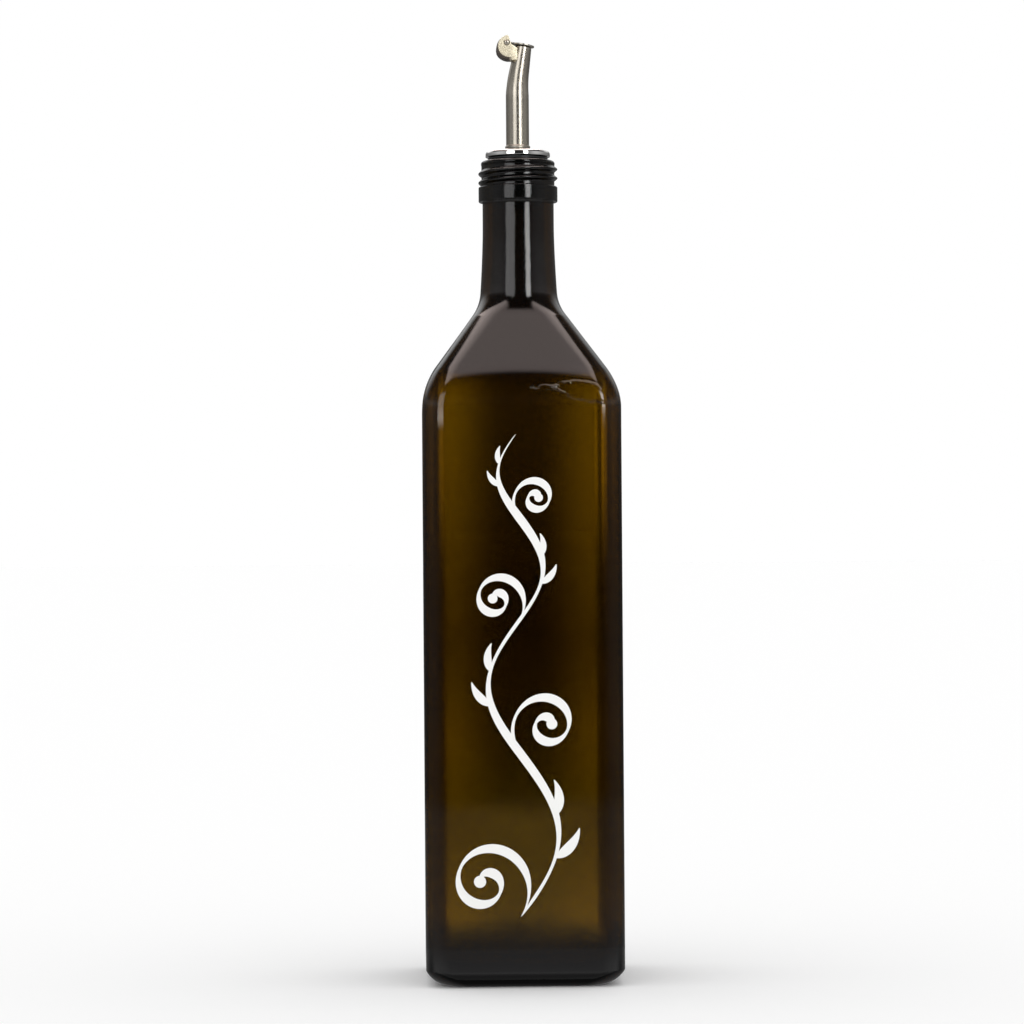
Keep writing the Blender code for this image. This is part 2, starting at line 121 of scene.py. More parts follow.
def bridgeRings(shape, rings, wrap=False):
    for lower, upper in zip(rings, rings[1:]):
        bmesh.ops.bridge_loops(shape, edges=lower + upper)
    if wrap:
        bmesh.ops.bridge_loops(shape, edges=rings[-1] + rings[0])
    else:
        for end in (rings[0], rings[-1]):
            bmesh.ops.edgeloop_fill(shape, edges=end)


# shader maths: arithmetic on a Wire adds the Math nodes, node() adds any other

class Wire:
    def __init__(self, tree, socket=None):
        self.tree = tree
        self.socket = socket

    def node(self, kind, settings=None, inputs=None, output=0):
        made = self.tree.nodes.new(kind)
        for name, value in (settings or {}).items():
            if name == "stops":
                ramp = made.color_ramp.elements
                while len(ramp) < len(value):
                    ramp.new(1)
                for stop, (place, colour) in zip(ramp, value):
                    stop.position = place
                    stop.color = (*colour, 1)
            else:
                setattr(made, name, value)
        for name, value in (inputs or {}).items():
            socket = made.inputs[name]
            if isinstance(value, Wire):
                self.tree.links.new(value.socket, socket)
            else:
                socket.default_value = value
        return Wire(self.tree, made.outputs[output])

    def math(self, operation, *values):
        return self.node("ShaderNodeMath", {"operation": operation}, dict(enumerate(values)))

    def __add__(self, other):
        return self.math("ADD", self, other)

    def __sub__(self, other):
        return self.math("SUBTRACT", self, other)

    def __rsub__(self, other):
        return self.math("SUBTRACT", other, self)

    def __mul__(self, other):
        return self.math("MULTIPLY", self, other)

    def __truediv__(self, other):
        return self.math("DIVIDE", self, other)

    __radd__ = __add__
    __rmul__ = __mul__

    def ramp(self, low, high):  # 0 below low, 1 above high, smooth between
        kind = {"interpolation_type": "SMOOTHSTEP"}
        return self.node("ShaderNodeMapRange", kind, {"Value": self, "From Min": low, "From Max": high})

    def band(self, low, high, soft):  # 1 between low and high
        return self.ramp(low - soft, low + soft) * (1 - self.ramp(high - soft, high + soft))

    def stops(self, places):  # a colour ramp of (place, colour)
        return self.node("ShaderNodeValToRGB", {"stops": places}, {"Fac": self})

    def colours(self, below, above):  # this number mixes two colours
        return self.node("ShaderNodeMix", {"data_type": "RGBA"}, {0: self, 6: below, 7: above}, 2)


def newMaterial(name, values):
    # values go straight onto the Principled shader's sockets
    material = bpy.data.materials.new(name)
    material.use_nodes = True
    shader = material.node_tree.nodes["Principled BSDF"]
    for socket, value in values.items():
        shader.inputs[socket].default_value = value
    return material, Wire(material.node_tree), shader


def parts(wire, vector):
    split = wire.node("ShaderNodeSeparateXYZ", inputs={0: vector})
    return [Wire(wire.tree, split.socket.node.outputs[axis]) for axis in "XYZ"]


def place(wire):  # the point on the piece, whole and as x, y and z in metres
    point = wire.node("ShaderNodeTexCoord", output="Object")
    return point, *parts(wire, point)


def noise(wire, point, scale, stretch=(1, 1, 1), detail=3.0, turn=0.0):
    turned = {"Vector": point, "Scale": stretch, "Rotation": (0, turn, 0)}
    spread = wire.node("ShaderNodeMapping", inputs=turned)
    return wire.node("ShaderNodeTexNoise", inputs={"Vector": spread, "Scale": scale, "Detail": detail})


def link(wire, shader, socket):
    wire.tree.links.new(wire.socket, shader.inputs[socket])


def relief(height, shader, strength=1.0):  # height in millimetres
    normal = height.node("ShaderNodeBump", inputs={"Height": height, "Strength": strength, "Distance": mm})
    link(normal, shader, "Normal")


def absorb(wire, colour, density):
    volume = wire.node("ShaderNodeVolumeAbsorption", inputs={"Color": (*colour, 1), "Density": density})
    out = next(node for node in wire.tree.nodes if node.type == "OUTPUT_MATERIAL")
    wire.tree.links.new(volume.socket, out.inputs["Volume"])


# the bottle's glass

bottle = {
    "half": glassHigh.x,
    "corner": 9.0 * mm,
    "heelRadius": 6.2 * mm,
    "heelFlatness": 1.48,  # 1 is a quarter circle and 2 is a straight cut
    "heelCorner": 11.5 * mm,
    "bearingWidth": 3.2 * mm,
    "puntDepth": 3.2 * mm,
    "footOfShoulder": 219.5 * mm,
    "shoulderRadius": 28.8 * mm,
    "shoulderSlope": math.radians(36.3),  # from the vertical
    "shoulderRun": 23.2 * mm,
    "shoulderArch": 2.4 * mm,
    "ridgeCorner": 9.0 * mm,
    "ridgeCornerFrom": 17.0 * mm,
    "ridgeEnd": 253.0 * mm,
    "crease": 14.0 * mm,  # above the foot of the shoulder
    "creaseSpread": 6.0 * mm,
    "neckSweep": 19.0 * mm,
    "neckSlope": math.radians(5.0),
    "neckBase": 264.8 * mm,
    "neckRadius": 13.8 * mm,
    "neckStraightFrom": 290.0 * mm,
    "lipHigh": glassHigh.z,
    "lipDepth": 2.0 * mm,
    "lipRadius": 14.3 * mm,
    "lipRound": 1.2 * mm,
    "collarLow": 300.6 * mm,
    "collarHigh": 306.1 * mm,
    "collarRadius": 15.3 * mm,
    "collarEdge": 0.5 * mm,
    "wall": 3.5 * mm,
    "floor": 8.6 * mm,
    "floorRound": 7.0 * mm,
    "bore": 10.2 * mm,
    "boreFrom": 283.0 * mm,
    "boreLeadIn": 1.0 * mm,
    "points": 144,  # round each ring
    "flatPoints": 8,  # of a quarter's points, on each half side
}

thread = {
    "root": 14.15 * mm,
    "crest": 15.35 * mm,
    "pitch": 3.45 * mm,
    "halfWidth": 1.3 * mm,
    "atRight": 309.4 * mm,
    "firstTurn": -0.75,
    "lastTurn": 1.12,
    "fade": 0.14,
    "rings": 52,
}


def crowdedAngle(step, count, flat, half, corner):
    # most of a quarter's points lie on the round corner
    flatPoints = bottle["flatPoints"]
    if step < flatPoints:
        return math.atan2(flat * step / flatPoints, half)
    if step > count - flatPoints:
        return math.atan2(half, flat * (count - step) / flatPoints)
    turn = math.pi / 2 * (step - flatPoints) / (count - 2 * flatPoints)
    return math.atan2(flat + corner * math.sin(turn), flat + corner * math.cos(turn))


def reachOf(angle, flat, half, corner):
    across, up = math.cos(angle), math.sin(angle)
    if up * half <= flat * across:
        return half / across
    if across * half <= flat * up:
        return half / up
    along = flat * (across + up)
    return along + math.sqrt(max(0.0, along * along - 2 * flat * flat + corner * corner))


def addRing(shape, half, corner, height, arch=0.0, swell=None):
    # a circle, moved out onto a square with round corners; swell gives a radius by angle instead
    count = bottle["points"]
    quarterCount = count // 4
    corner = min(corner, half)
    flat = half - corner
    roundness = max(0.0, (corner / half - 0.3) / 0.7)
    made = bmesh.ops.create_circle(shape, cap_ends=False, segments=count, radius=half)
    for index, vertex in enumerate(made["verts"]):
        quarter, step = divmod((index + quarterCount) % count, quarterCount)
        even = math.pi / 2 * step / quarterCount
        angle = mix(crowdedAngle(step, quarterCount, flat, half, corner), even, roundness)
        distance = reachOf(angle, flat, half, corner)
        if swell:
            distance = swell(angle + quarter * math.pi / 2, height)
        across, up = distance * math.cos(angle), distance * math.sin(angle)
        drop = arch * (min(across, up) / half) ** 2
        vertex.co = Matrix.Rotation(quarter * math.pi / 2, 3, "Z") @ Vector((across, up, height - drop))
    return ringEdges(made)


def shoulderStations(inset, endRadius, endHeight):
    # (half width, height) up the shoulder and neck, inset from the outer skin
    radius, sweep, slope = bottle["shoulderRadius"], bottle["neckSweep"], bottle["shoulderSlope"]
    centre = bottle["half"] - radius
    foot = bottle["footOfShoulder"]
    stations = []
    for share in steps(16):
        turn = slope * share
        half = centre + (radius - inset) * math.cos(turn)
        stations.append((half, foot + (radius - inset) * math.sin(turn)))
    sweepHalf = centre + (radius + sweep) * math.cos(slope) - bottle["shoulderRun"] * math.sin(slope)
    sweepHeight = foot + (radius + sweep) * math.sin(slope) + bottle["shoulderRun"] * math.cos(slope)
    for share in steps(20):
        turn = mix(slope, bottle["neckSlope"], share)
        half = sweepHalf - (sweep + inset) * math.cos(turn)
        stations.append((half, sweepHeight - (sweep + inset) * math.sin(turn)))
    baseHalf, baseHeight = stations[-1]
    for share in steps(8)[1:]:
        half = mix(endRadius, baseHalf, (1 - share) ** 1.5)
        stations.append((half, mix(baseHeight, endHeight, share)))
    return stations


def addShoulderRing(shape, half, height, inset):
    foot, ridgeEnd = bottle["footOfShoulder"], bottle["ridgeEnd"]
    crease, spread = foot + bottle["crease"], bottle["creaseSpread"]
    ridge = smoothStep(height, foot, foot + bottle["ridgeCornerFrom"])
    corner = mix(bottle["corner"], bottle["ridgeCorner"], ridge) - inset / 2
    corner = mix(corner, half, smoothStep(height, ridgeEnd, bottle["neckBase"]))
    rise = smoothStep(height, foot - spread, crease)
    fall = 1 - smoothStep(height, crease, ridgeEnd + spread)
    return addRing(shape, half, corner, height, bottle["shoulderArch"] * rise * fall)


def threadRadius(angle, height):
    # the screw thread's ridge, right-handed, fading in and out at its ends
    swell = 0.0
    for whole in range(-2, 3):
        turns = angle / math.tau + whole
        start = smoothStep(turns, thread["firstTurn"], thread["firstTurn"] + thread["fade"])
        end = 1 - smoothStep(turns, thread["lastTurn"] - thread["fade"], thread["lastTurn"])
        middle = thread["atRight"] + thread["pitch"] * turns
        swell = max(swell, start * end * bump(height, middle, thread["halfWidth"]) ** 0.8)
    return mix(thread["root"], thread["crest"], swell)


def outerRings(shape):
    half, heel = bottle["half"], bottle["heelRadius"]
    bearingOut = half - heel
    bearingIn = bearingOut - bottle["bearingWidth"]
    rings = []
    for share in steps(6)[1:-1]:
        depth = bottle["puntDepth"] * (1 - share ** 3)
        rings.append(addRing(shape, bearingIn * share, bottle["heelCorner"] * share, depth))
    rings.append(addRing(shape, bearingIn, bottle["heelCorner"], 0))
    for turn in quarterTurns(16):
        corner = mix(bottle["heelCorner"], bottle["corner"], turn / (math.pi / 2))
        out = math.sin(turn) ** bottle["heelFlatness"]
        drop = max(0.0, math.cos(turn)) ** bottle["heelFlatness"]
        rings.append(addRing(shape, bearingOut + heel * out, corner, heel * (1 - drop)))
    for share in steps(24)[1:-1]:
        rings.append(addRing(shape, half, bottle["corner"], mix(heel, bottle["footOfShoulder"], share)))
    for stationHalf, height in shoulderStations(0, bottle["neckRadius"], bottle["neckStraightFrom"]):
        rings.append(addShoulderRing(shape, stationHalf, height, 0))
    return rings


def finishRings(shape):
    # collar, thread and lip
    edge, radius = bottle["collarEdge"], bottle["collarRadius"]
    low, high = bottle["collarLow"], bottle["collarHigh"]
    neck, bore, lead = bottle["neckRadius"], bottle["bore"], bottle["boreLeadIn"]
    lipHigh, lipRound = bottle["lipHigh"], bottle["lipRound"]
    profile = [(neck, low - 3.2 * edge), (neck, low - 2.2 * edge), (neck + edge * 0.4, low - edge)]
    profile += roundCorner((radius - edge, low), edge, -90, 0, 4)
    profile += [(radius, low + edge / 4), (radius, high - edge * 5 / 4)]
    profile += roundCorner((radius - edge, high - edge), edge, 0, 90, 4)
    rings = [addRing(shape, out, out, height) for out, height in profile]
    for share in steps(thread["rings"])[1:]:
        root = thread["root"]
        height = mix(high, lipHigh - bottle["lipDepth"], share)
        rings.append(addRing(shape, root, root, height, swell=threadRadius))
    profile = roundCorner((bottle["lipRadius"] - lipRound, lipHigh - lipRound), lipRound, 0, 90, 8)
    profile += roundCorner((bore + lead, lipHigh - lead), lead, 90, 180, 4)
    return rings + [addRing(shape, out, out, height) for out, height in profile]


def innerRings(shape, inset, floor, top):
    # the inside from the floor up, as far as top
    half = bottle["half"] - inset
    corner = bottle["corner"] - bottle["wall"] / 2
    rounding = bottle["floorRound"]
    rings = []
    for share in (0.3, 0.6):
        rings.append(addRing(shape, (half - rounding) * share, bottle["heelCorner"] * share, floor))
    for turn in quarterTurns(8):
        ringCorner = mix(bottle["heelCorner"], corner, turn / (math.pi / 2))
        out = half - rounding * (1 - math.sin(turn))
        rings.append(addRing(shape, out, ringCorner, floor + rounding * (1 - math.cos(turn))))
    boreRadius = bottle["bore"] - (inset - bottle["wall"])
    for stationHalf, height in shoulderStations(inset, boreRadius, bottle["boreFrom"]):
        if height < top:
            rings.append(addShoulderRing(shape, stationHalf, height, bottle["wall"]))
    return rings


glassLook = {
    "absorb": (0.62, 0.50, 0.10),
    "absorbDensity": 420.0,  # per metre
    "middle": (  # height in mm and tint down the middle of a panel: painted shade, darker than along the sides, and lighter or darker by height
        (0, (0.06, 0.05, 0.02)), (16, (0.16, 0.14, 0.04)), (26, (0.46, 0.41, 0.03)),
        (64, (0.41, 0.37, 0.02)), (71, (0.25, 0.22, 0.01)), (100, (0.17, 0.13, 0.01)),
        (135, (0.13, 0.09, 0.01)), (217, (0.19, 0.145, 0.012)),
    ),
    "sides": (  # and along its two sides, painted lighter than the middle
        (0, (0.08, 0.07, 0.03)), (16, (0.16, 0.14, 0.03)), (22, (0.60, 0.52, 0.02)),
        (60, (0.40, 0.35, 0.02)), (95, (0.45, 0.375, 0.03)), (130, (0.32, 0.26, 0.03)),
        (190, (0.50, 0.42, 0.03)), (217, (0.54, 0.46, 0.03)),
    ),
    "paintedCornerLight": (0.88, 0.76, 0.14, 1),  # painted light: a bright strip where panel and corner meet, near the shoulder
    "corner": (0.13, 0.10, 0.035, 1),
    "neck": (0.06, 0.042, 0.022, 1),
    # painted shade: the finish is painted blue-black, darker and cooler than the glass's own colour
    "finish": (0.022, 0.026, 0.045, 1),
    "bodyWave": 0.014,  # relief in mm
    "neckWave": 0.06,
    "crease": 0.22,  # height of two fine forked creases under the shoulder, at the front
    "creaseReach": 1.0 * mm,
    "creases": (  # from x, to x, then z = base + rise * ((x - middle) / spread) squared, in mm
        (11.5, 30.0, 229.0, -2.0, 20.5, 9.0), (11.5, 31.0, 221.2, 5.5, 31.0, 19.0),
        (3.5, 13.0, 226.4, 0.0, 8.0, 5.0), (3.5, 12.0, 227.4, 0.0, 8.0, 5.0),
    ),
    "smooth": 0.02,  # roughness of the body, and what the shoulder, neck and finish add to it
    "neckRough": 0.10,
    "finishRough": 0.02,
}


def makeGlassMaterial():
    material, wire, shader = newMaterial("darkOliveGlass", {"IOR": 1.52, "Transmission Weight": 1.0})
    point, x, y, z = place(wire)
    foot = bottle["footOfShoulder"]
    across = wire.math("MINIMUM", x.math("ABSOLUTE", x), y.math("ABSOLUTE", y)) / bottle["half"]
    cloud = noise(wire, point, 38.0, (1, 1, 0.6), 2.0) - 0.5
    height = z / foot + cloud * 0.05
    # painted light and shade: tints by height for the middle of each panel and for its sides, mixed from the darker
    # middle out to the lighter sides
    paintedShadeTints = []
    for name in ("middle", "sides"):
        paintedShadeTints.append(height.stops([(level * mm / foot, colour) for level, colour in glassLook[name]]))
    body = (across + cloud * 0.10).ramp(0.12, 0.80).colours(*paintedShadeTints)
    body = across.ramp(0.765, 0.825).colours(body, glassLook["corner"])
    # painted light: a bright strip along each corner's edge, fading out downwards from the shoulder
    paintedCornerLight = across.band(0.785, 0.835, 0.015) * z.ramp(150 * mm, 205 * mm)
    body = (paintedCornerLight * 0.9).colours(body, glassLook["paintedCornerLight"])
    shoulder = z.ramp(foot + 4 * mm, foot + 18 * mm)
    neck = shoulder.colours(body, glassLook["neck"])
    # above the collar the glass takes the painted blue-black shade of the finish, and more roughness
    finish = z.ramp(bottle["collarLow"] - 1.6 * mm, bottle["collarLow"])
    link(finish.colours(neck, glassLook["finish"]), shader, "Base Color")
    rough = shoulder * glassLook["neckRough"] + finish * glassLook["finishRough"]
    link(rough + glassLook["smooth"], shader, "Roughness")
    # slow waves in the panels, shorter ones up the neck and two creases under the shoulder
    height = noise(wire, point, 55.0, detail=1.0) * glassLook["bodyWave"]
    height = height + noise(wire, point, 240.0, (1, 1, 0.5), 2.0) * z.ramp(258 * mm, 275 * mm) * glassLook["neckWave"]
    ragged = noise(wire, point, 520.0, (0.5, 1, 1), 2.0)
    reach = glassLook["creaseReach"]
    for start, end, base, rise, middle, spread in glassLook["creases"]:
        bend = (x - middle * mm) / (spread * mm)
        off = z - bend * bend * (rise * mm) - base * mm + (ragged - 0.5) * (1.2 * mm)
        ridge = 1 - wire.math("ABSOLUTE", off).ramp(0, reach)
        ridge = ridge * x.band(start * mm, end * mm, 0.8 * mm) * (1 - y.ramp(-30 * mm, -25 * mm))
        height = height + ridge * ragged.ramp(0.27, 0.57) * glassLook["crease"]
    relief(height, shader)
    absorb(wire, glassLook["absorb"], glassLook["absorbDensity"])
    return material


def makeBottle():
    shape = bmesh.new()
    rings = outerRings(shape) + finishRings(shape)
    rings += reversed(innerRings(shape, bottle["wall"], bottle["floor"], bottle["lipHigh"]))
    bridgeRings(shape, rings)
    finishPiece(shape, "bottleGlass", "bottle", makeGlassMaterial(), ["bottle_glass"], 50)


makeBottle()


# the oil, which reaches just into the glass

oil = {
    "level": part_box("oil")[1].z,
    "reach": 0.12 * mm,
    "absorb": (0.86, 0.76, 0.16),
    "absorbDensity": 14.0,
}


def makeOil():
    shape = bmesh.new()
    inset = bottle["wall"] - oil["reach"]
    rings = innerRings(shape, inset, bottle["floor"] - oil["reach"], oil["level"] + 10 * mm)
    bridgeRings(shape, rings)
    whole = list(shape.verts) + list(shape.edges) + list(shape.faces)
    cut = bmesh.ops.bisect_plane(
        shape, geom=whole, plane_co=(0, 0, oil["level"]), plane_no=(0, 0, 1), clear_outer=True
    )
    level = [item for item in cut["geom_cut"] if isinstance(item, bmesh.types.BMEdge)]
    bmesh.ops.edgeloop_fill(shape, edges=level)
    material, wire, shader = newMaterial("goldenOil", {
        "Base Color": (1, 1, 1, 1), "Roughness": 0.0, "IOR": 1.47, "Transmission Weight": 1.0,
    })
    absorb(wire, oil["absorb"], oil["absorbDensity"])
    finishPiece(shape, "oilFill", "bottle", material, ["oil"])


makeOil()


# the black stopper in the neck

stopper = {
    "low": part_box("stopper")[0].z,
    "high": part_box("stopper")[1].z,
    "rimRadius": 11.6 * mm,
    "rimHeight": 0.9 * mm,
    "edge": 0.22 * mm,
    "plugRadius": 9.0 * mm,
    "ribRadius": 9.8 * mm,
    "ribs": 4,
    "ribPitch": 3.6 * mm,
    "ribHeight": 1.1 * mm,
    "taper": 1.0 * mm,
    "hole": 3.6 * mm,
    "plastic": (0.012, 0.012, 0.014, 1),
}


def makeStopper():
    low, high, edge, hole = stopper["low"], stopper["high"], stopper["edge"], stopper["hole"]
    plug, rib, taper = stopper["plugRadius"], stopper["ribRadius"], stopper["taper"]
    rim, rimLow = stopper["rimRadius"], stopper["high"] - stopper["rimHeight"]
    profile = roundCorner((hole + edge, low + edge), edge, 180, 270)
    profile += roundCorner((plug - taper - edge, low + edge), edge, 270, 315)
    profile.append((plug, low + taper))
    for index in range(stopper["ribs"]):
        base = low + 2 * taper + index * stopper["ribPitch"]
        profile.append((plug, base))
        profile += roundCorner((rib - edge, base + 0.75 * stopper["ribHeight"] - edge), edge, -40, 90, 4)
        profile.append((plug, base + stopper["ribHeight"]))
    profile.append((plug, rimLow))
    profile += roundCorner((rim - edge, rimLow + edge), edge, -90, 0)
    profile += roundCorner((rim - edge, high - edge), edge, 0, 90)
    profile += roundCorner((hole + edge, high - edge), edge, 90, 180)
    material, wire, shader = newMaterial("mouldedPlastic", {"Base Color": stopper["plastic"]})
    point = place(wire)[0]
    grain = noise(wire, point, 900.0)
    link(grain * 0.16 + 0.30, shader, "Roughness")
    relief(grain * 0.03, shader)
    finishPiece(turned(profile, 96), "ribbedStopper", "bottle", material, ["stopper"])


makeStopper()


# the pourer's polished cap and the weld bead on it

cap = {
    "low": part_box("pourer_cap")[0].z,
    "high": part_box("pourer_cap")[1].z,
    "radius": 12.5 * mm,
    "side": 1.1 * mm,  # how far the edge stands up straight
    "edge": 1.1 * mm,
    "hem": 0.22 * mm,
    "support": 0.06 * mm,  # an extra ring this far from each end keeps the side's shading straight
    "lean": 0.05 * mm,  # how far the side leans in at its top
    "plateau": 5.6 * mm,
    "hole": 3.6 * mm,
    "steel": (0.95, 0.94, 0.93, 1),
    "dullFrom": 1.5 * mm,  # the rounded top edge is a little less polished from here down
    "dullTill": 1.1 * mm,
    "dullRough": 0.20,
    "beadRadius": 4.85 * mm,
    "beadFoot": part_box("weld_bead")[0].z,
    "beadHeight": 1.2 * mm,
}


def polishedSteel():
    material, wire, shader = newMaterial("polishedSteel", {"Metallic": 1.0})
    point, x, y, z = place(wire)
    smear = noise(wire, point, 160.0, (1, 1, 2), 4.0)
    dull = tuple(value * 0.86 for value in cap["steel"][:3]) + (1,)
    link(smear.ramp(0.35, 0.7).colours(cap["steel"], dull), shader, "Base Color")
    edge = z.ramp(cap["high"] - cap["dullFrom"], cap["high"] - cap["dullTill"])
    link(smear * 0.05 + edge * cap["dullRough"] + 0.02, shader, "Roughness")
    relief(noise(wire, point, 240.0) * 0.002, shader)
    return material


def makeCap():
    low, high, hem, edge = cap["low"], cap["high"], cap["hem"], cap["edge"]
    radius, plateau, hole = cap["radius"], cap["plateau"], cap["hole"]
    profile = [(hole, low)] + roundCorner((radius - hem, low + hem), hem, -90, 0)
    inner = radius - cap["lean"]
    profile += [(radius, low + hem + cap["support"]), (inner, low + cap["side"] - cap["support"])]
    profile += roundCorner((inner - edge, low + cap["side"]), edge, 4, 76, 10)
    profile += roundCorner((plateau, high - 2 * edge), 2 * edge, 70, 90, 6)
    profile += roundCorner((hole + hem, high - hem), hem, 90, 180)
    finishPiece(turned(profile, 144), "pourerCap", "bottle", polishedSteel(), ["pourer_cap"])


makeCap()


# the bent spout

spout = {
    "foot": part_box("spout_tube")[0].z,
    "radius": 4.45 * mm,
    "endRadius": 3.25 * mm,
    "wall": 0.55 * mm,
    "bendFrom": 341.6 * mm,
    "bendLength": 9.0 * mm,
    "bendAngle": math.radians(9.5),
    "endRun": 10.0 * mm,
    "sides": 72,
    "light": (0.61, 0.565, 0.485, 1),
    "dark": (0.47, 0.43, 0.365, 1),
    "bead": (0.38, 0.355, 0.32, 1),
}


def spoutStations():
    # (centre, lean, radius) up the middle of the tube
    stations = []
    for share in steps(12):
        stations.append((Vector((0, 0, mix(spout["foot"], spout["bendFrom"], share))), 0.0, spout["radius"]))
    bend = spout["bendLength"] / spout["bendAngle"]
    total = spout["bendLength"] + spout["endRun"]
    for share in steps(16)[1:]:
        turn = spout["bendAngle"] * share
        centre = Vector((bend * (1 - math.cos(turn)), 0, spout["bendFrom"] + bend * math.sin(turn)))
        gone = spout["bendLength"] * share / total
        stations.append((centre, turn, mix(spout["radius"], spout["endRadius"], gone)))
    corner = stations[-1][0]
    ahead = Vector((math.sin(spout["bendAngle"]), 0, math.cos(spout["bendAngle"])))
    for share in steps(10)[1:]:
        gone = (spout["bendLength"] + spout["endRun"] * share) / total
        centre = corner + ahead * spout["endRun"] * share
        stations.append((centre, spout["bendAngle"], mix(spout["radius"], spout["endRadius"], gone)))
    return stations


def drawnSteel(name, light, dark, rough, stretch, pitch=1500.0):
    # steel with fine lines along one direction
    material, wire, shader = newMaterial(name, {"Metallic": 1.0})
    point = place(wire)[0]
    lines = noise(wire, point, pitch, stretch, 4.0)
    cloud = noise(wire, point, 130.0)
    link((lines * 0.7 + cloud * 0.3).ramp(0.30, 0.72).colours(light, dark), shader, "Base Color")
    link(lines * 0.12 + cloud * 0.08 + rough, shader, "Roughness")
    relief(lines * 0.0008 + cloud * 0.0003, shader)
    return material


def makeSpout():
    shape = bmesh.new()
    stations = spoutStations()
    wall = spout["wall"]
    rings = []

    def addTubeRing(centre, lean, radius):
        turn = Matrix.Translation(centre) @ Matrix.Rotation(lean, 4, "Y")
        made = bmesh.ops.create_circle(shape, segments=spout["sides"], radius=radius, matrix=turn)
        rings.append(ringEdges(made))

    for centre, lean, radius in stations[:-1]:
        addTubeRing(centre, lean, radius)
    mouth, lean, radius = stations[-1]
    ahead = Vector((math.sin(lean), 0, math.cos(lean)))
    for out, up in roundCorner((radius - wall / 2, 0), wall / 2, 0, 180, 8):
        addTubeRing(mouth + ahead * (up - wall / 2), lean, out)
    for centre, lean, radius in reversed(stations[:-1]):
        addTubeRing(centre, lean, radius - wall)
    bridgeRings(shape, rings, wrap=True)
    material = drawnSteel("drawnTube", spout["light"], spout["dark"], 0.17, (1, 1, 0.03))
    finishPiece(shape, "spoutTube", "bottle", material, ["spout_tube"])


def makeBead():
    foot, radius, height = cap["beadFoot"], cap["beadRadius"], cap["beadHeight"]
    inner = spout["radius"] + 0.02 * mm
    profile = [(inner, foot), (radius, foot)] + roundCorner((radius - 0.5 * mm, foot + 0.6 * mm), 0.5 * mm, 0, 60)
    profile += [(mix(inner, radius, 0.30), foot + height * 0.85), (inner, foot + height)]
    material = drawnSteel("weldedSteel", spout["dark"], spout["bead"], 0.30, (1, 1, 1), 500.0)
    finishPiece(turned(profile, 72), "weldBead", "bottle", material, ["weld_bead"])


makeSpout()
makeBead()


# the hinge: its sheet bracket and flap are the CAD's, with their edges rounded over, and a new rivet

hinge = {
    "pin": Vector((-4.03, 0, 361.75)) * mm,
    "pinRadius": 0.5 * mm,
    "headRadius": 0.95 * mm,
    "headInside": 3.9 * mm,  # from the middle
    "headOutside": 4.4 * mm,
    "sheetEdge": 0.10 * mm,
    "sheetLight": (0.90, 0.82, 0.62, 1),
    "sheetDark": (0.78, 0.69, 0.49, 1),
    # painted shade for the folded edge, which faces away from the light
    "paintedFoldShade": (0.07, 0.055, 0.045, 1),
    "foldCentre": (-3.0 * mm, 360.5 * mm),  # x and z of the middle of the folded edge's bend
    "foldShadeFrom": (4.15 * mm, 4.6 * mm),  # distances from there where the painted shade on the fold sets in
    "rim": (0.90 * mm, 1.15 * mm),  # a dark rim round the rivet's head, from and to
    "foldShadeTill": (-3.4 * mm, -1.6 * mm),  # x where it ends
    "flapLight": (0.70, 0.67, 0.60, 1),
    "flapDark": (0.45, 0.42, 0.36, 1),
}


def softenedCopy(node, name, body, material):
    # a node's own shape, merged, its flat triangles joined, and its edges rounded over
    shape = bmesh.new()
    shape.from_mesh(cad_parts[node].data)
    bmesh.ops.remove_doubles(shape, verts=shape.verts, dist=0.001 * mm)
    bmesh.ops.dissolve_limit(
        shape, angle_limit=math.radians(0.5), verts=shape.verts, edges=shape.edges,
    )
    sharp = [edge for edge in shape.edges if edge.is_manifold and edge.calc_face_angle() > math.radians(40)]
    bmesh.ops.bevel(
        shape, geom=sharp, offset=hinge["sheetEdge"], offset_type="OFFSET", segments=2,
        profile=0.5, affect="EDGES", material=-1, clamp_overlap=True,
    )
    bmesh.ops.triangulate(shape, faces=shape.faces)
    finishPiece(shape, name, body, material, [node], 30)


def sheetMaterial():
    # satin sheet, with painted shade along its folded edge and a dark rim round the rivet's head
    material, wire, shader = newMaterial("brassySheet", {"Metallic": 0.35})
    point, x, y, z = place(wire)

    def awayFrom(middleX, middleZ):
        return wire.math("SQRT", (x - middleX) * (x - middleX) + (z - middleZ) * (z - middleZ))

    cloud = noise(wire, point, 900.0)
    plain = cloud.ramp(0.2, 0.9).colours(hinge["sheetLight"], hinge["sheetDark"])
    # painted shade along the folded edge
    foldShade = awayFrom(*hinge["foldCentre"]).ramp(*hinge["foldShadeFrom"]) * (1 - x.ramp(*hinge["foldShadeTill"]))
    rim = awayFrom(hinge["pin"].x, hinge["pin"].z).band(*hinge["rim"], 0.1 * mm)
    dark = wire.math("MAXIMUM", foldShade, rim * 0.85)
    link(dark.colours(plain, hinge["paintedFoldShade"]), shader, "Base Color")
    link(cloud * 0.10 + 0.38, shader, "Roughness")
    return material


